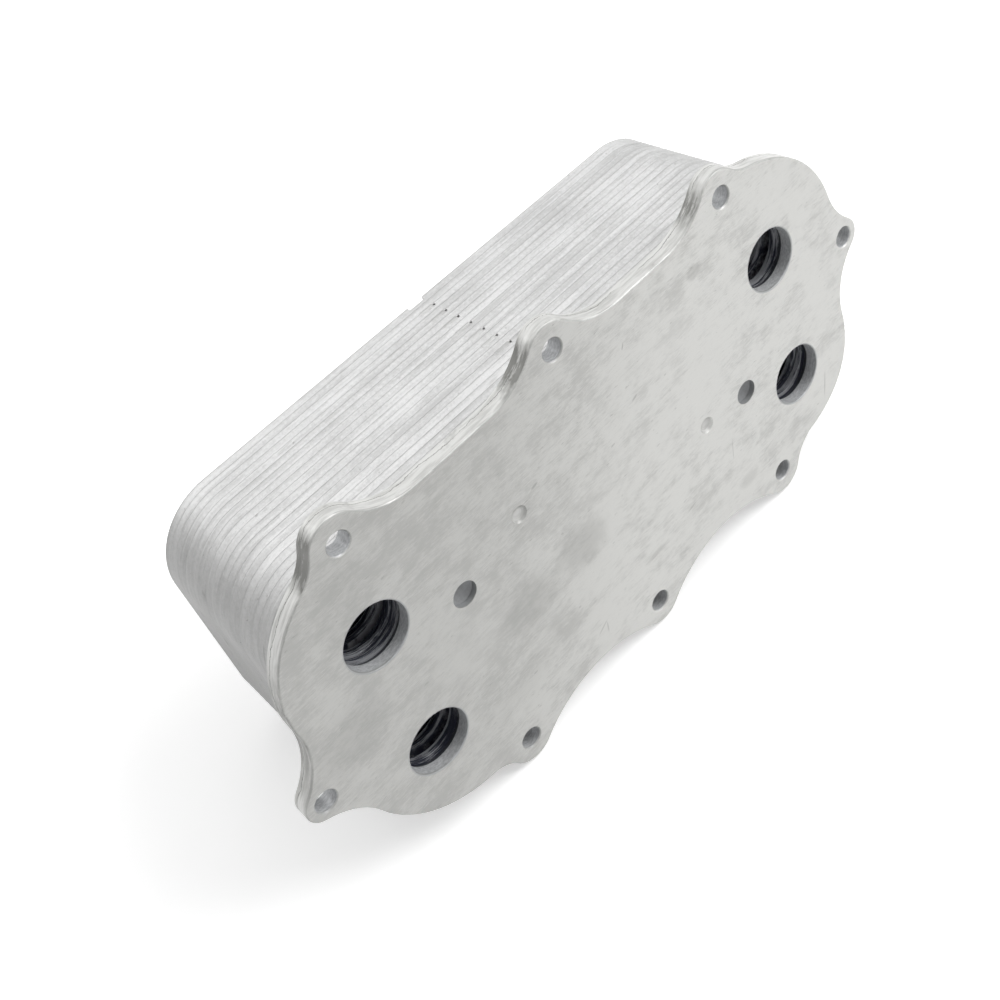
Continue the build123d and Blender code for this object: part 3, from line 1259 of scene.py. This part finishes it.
    def collar(self, port: Point) -> bpy.types.Object:
        """Spin the pressed neck round one port, up to the next web.

        Args:
            port: X and Z of the port's centre in millimetres.

        Returns:
            The object.
        """
        clear_selection()
        height = self.pitch - self.sheet
        x, z = port
        centre = Vector((x * MM, self.end_front + self.sheet + height / 2, z * MM))
        spot = centre + Vector((self.port_radius + self.collar_width / 2, 0, 0))
        bpy.ops.mesh.primitive_plane_add(size=1.0, location=spot)
        piece = bpy.context.active_object
        piece.scale = (self.collar_width, height, 1.0)
        settle(piece)
        open_mesh(piece)
        bpy.ops.mesh.bevel(
            offset=self.collar_edge,
            offset_type="OFFSET",
            segments=self.collar_edge_steps,
            profile=0.5,
            affect="VERTICES",
        )
        bpy.ops.mesh.select_all(action="SELECT")
        bpy.ops.mesh.spin(steps=self.port_steps, angle=2 * math.pi, center=centre, axis=(0, 1, 0))
        bpy.ops.mesh.select_all(action="SELECT")
        bpy.ops.mesh.remove_doubles(threshold=self.weld_distance)
        pick_faces(piece, lambda face: len(face.verts) > 4)
        bpy.ops.mesh.delete(type="ONLY_FACE")
        bpy.ops.mesh.select_all(action="SELECT")
        bpy.ops.mesh.normals_make_consistent(inside=False)
        bpy.ops.object.mode_set(mode="OBJECT")
        return piece

    def core_plate(self, name: str, notched: bool) -> bpy.types.Object:
        """Press a plate with four ports and two collars.

        Args:
            name: Name of the object.
            notched: Whether its lip has the notch. The two kinds of plate have their collars
                round opposite pairs of ports.

        Returns:
            The object, at the end plate's place.
        """
        piece = self.shell(name, self.sheet)
        cut_out(piece, self.ports_tool())
        if notched:
            cut_out(piece, self.notch_tool())
        sealed = [port for port in PORTS if (port[0] * port[1] > 0) == notched]
        return join([piece] + [self.collar(port) for port in sealed])

    def filler_ring(self, name: str) -> bpy.types.Object:
        """Draw the concave fillet behind the lip that ends before the end plate's own lip.

        Args:
            name: Name of the object.

        Returns:
            The object, at the place of the last joint.
        """
        lip_y = self.end_front + self.rim_overlap
        piece = self.rounded_face(name, self.fillet_inset, lip_y - self.fillet_start)
        bpy.ops.mesh.flip_normals()
        fall = self.slope * self.pitch - self.fillet_inset
        for start, stop in quarter_turn(self.fillet_steps):
            inward = fall * (math.sin(stop) - math.sin(start))
            self.step(inward, self.fillet * (math.cos(start) - math.cos(stop)))
        bpy.ops.mesh.delete(type="FACE")
        bpy.ops.object.mode_set(mode="OBJECT")
        finish_modifier(piece, "SOLIDIFY", {"thickness": self.fillet_wall, "offset": -1.0})
        return piece

    def notch_filler(self, name: str) -> bpy.types.Object:
        """Model the filler metal that has run into a notch and left a pinhole at its right end.

        Args:
            name: Name of the object.

        Returns:
            The object, at the end plate's place.
        """
        middle = self.notch_depth / 2
        place = (
            self.notch_x - self.pinhole / 2,
            self.end_front + self.depth - middle,
            self.half_z - middle * self.slope - self.pad_sink,
        )
        tilt = (math.atan(self.slope), 0, 0)
        clear_selection()
        bpy.ops.mesh.primitive_cube_add(size=1.0, location=place, rotation=tilt)
        pad = bpy.context.active_object
        pad.name = name
        width, depth = self.notch_width - self.pinhole, self.notch_depth + self.pad_overhang
        pad.scale = (width, depth, self.sheet)
        settle(pad)
        open_mesh(pad)
        bpy.ops.mesh.subdivide(number_cuts=self.pad_cuts)
        bpy.ops.transform.vertex_random(offset=self.pad_ripple, normal=0.5, seed=self.pad_seed)
        bpy.ops.object.mode_set(mode="OBJECT")
        finish_modifier(pad, "BEVEL", {"width": self.pad_edge, "segments": self.pad_edge_steps})
        return pad

    def build(self) -> None:
        """Model the plates and their filler and put them in their places."""
        sheet = self.finish.material()
        filler = self.filler.material()
        patterns = {kind: self.core_plate(f"pattern_{kind}", kind) for kind in (True, False)}
        ring = self.filler_ring("pattern_ring")
        pad = self.notch_filler("pattern_pad")
        for number in range(1, self.count + 1):
            left = self.count + 1 - number
            notched = left % 2 == 0
            shift = -left * self.pitch
            plate = copy_along(patterns[notched], f"pressed_core_plate_{number:02d}", shift)
            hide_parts(f"core_plate_{number:02d}")
            dress_sheet(plate, sheet)
            joint = copy_along(ring, f"braze_fillet_{number:02d}", shift + self.pitch)
            dress_sheet(joint, filler)
            if notched:
                dress_sheet(copy_along(pad, f"notch_filler_{number:02d}", shift), filler)
        end = self.shell("pressed_end_plate", self.end_sheet)
        cut_out(end, self.notch_tool())
        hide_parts("end_plate")
        dress_sheet(end, sheet)
        for pattern in (*patterns.values(), ring, pad):
            bpy.data.objects.remove(pattern)


@dataclass(frozen=True)
class Lamp:
    """A soft lamp that looks at the cooler: place and sides in metres, power in watts."""

    name: str
    place: tuple[float, float, float]
    sides: tuple[float, float]
    power: float

    def hang(self) -> None:
        """Hang it."""
        data = bpy.data.lights.new(self.name, "AREA")
        data.shape = "RECTANGLE"
        data.size, data.size_y = self.sides
        data.energy = self.power
        lamp = bpy.data.objects.new(self.name, data)
        bpy.context.scene.collection.objects.link(lamp)
        lamp.location = self.place
        lamp.rotation_euler = (-Vector(self.place)).to_track_quat("-Z", "Y").to_euler()


@dataclass
class Studio:
    """Floor, lamps, world and camera. Sizes and places in metres."""

    floor: StudioFloor = field(default_factory=StudioFloor)
    floor_size: float = 6.0

    # Where the floor passes under the lower lobes of the flange and the rear edge of the stack.
    front_contact: Vector = field(default_factory=lambda: Vector((0, 2.5, -78.9)) * MM)
    rear_contact: Vector = field(default_factory=lambda: Vector((0, 83.5, -56.8)) * MM)

    ambience: float = 0.36
    lamps: Sequence[Lamp] = (
        Lamp("key", (1.7, -1.05, 1.75), (1.5, 1.5), 43.0),
        Lamp("top", (0.1, 0.3, 2.4), (2.4, 2.4), 21.0),
        Lamp("rear_left", (-0.60, 0.75, 0.80), (0.5, 0.3), 1.4),
    )

    camera_place: Vector = field(default_factory=lambda: Vector((-0.1672, -0.2683, 0.3341)))
    camera_forward: Vector = field(default_factory=lambda: Vector((0.37516, 0.73346, -0.56682)))
    camera_up: Vector = field(default_factory=lambda: Vector((0.59161, 0.28129, 0.75556)))
    sensor_width: float = 36.0
    lens: float = 45.47
    shift: tuple[float, float] = (0.065, -0.23)
    nearest: float = 0.005

    def lay_floor(self) -> None:
        """Lay the floor through the points that the cooler leans on."""
        rise = self.rear_contact - self.front_contact
        tilt = math.atan2(rise.z, rise.y)
        clear_selection()
        bpy.ops.mesh.primitive_plane_add(
            size=self.floor_size, location=self.front_contact, rotation=(tilt, 0, 0)
        )
        floor = bpy.context.active_object
        floor.name = "studio_floor"
        settle(floor)
        floor.data.materials.append(self.floor.material())

    def light_world(self) -> None:
        """Make the world white to look at and softer as light."""
        world = bpy.data.worlds.new("studio")
        bpy.context.scene.world = world
        graph = Graph(world)
        seen = graph.rays("Is Camera Ray", "Is Glossy Ray", "Is Transmission Ray")
        strength = seen * (1.0 - self.ambience) + self.ambience
        sky = graph.node("Background", None, {"Color": WHITE, "Strength": strength})
        graph.close(sky, "OutputWorld")

    def place_camera(self) -> None:
        """Set the camera up."""
        data = bpy.data.cameras.new("camera")
        data.sensor_width = self.sensor_width
        data.lens = self.lens
        data.shift_x, data.shift_y = self.shift
        data.clip_start = self.nearest
        camera = bpy.data.objects.new("camera", data)
        bpy.context.scene.collection.objects.link(camera)
        right = self.camera_forward.cross(self.camera_up)
        turn = Matrix((right, self.camera_up, -self.camera_forward)).transposed()
        camera.matrix_world = Matrix.Translation(self.camera_place) @ turn.to_4x4()
        bpy.context.scene.camera = camera

    def build(self) -> None:
        """Set the studio up."""
        bpy.context.scene.view_settings.view_transform = "Standard"
        self.lay_floor()
        self.light_world()
        for lamp in self.lamps:
            lamp.hang()
        self.place_camera()


def main() -> None:
    """Build the cooler's looks."""
    logging.basicConfig(level=logging.INFO, format="%(name)s: %(message)s")
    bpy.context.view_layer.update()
    Studio().build()
    Flange().build()
    Turbulators().build()
    PlateStack().build()
    clear_selection()


if __name__ == "__main__":
    main()
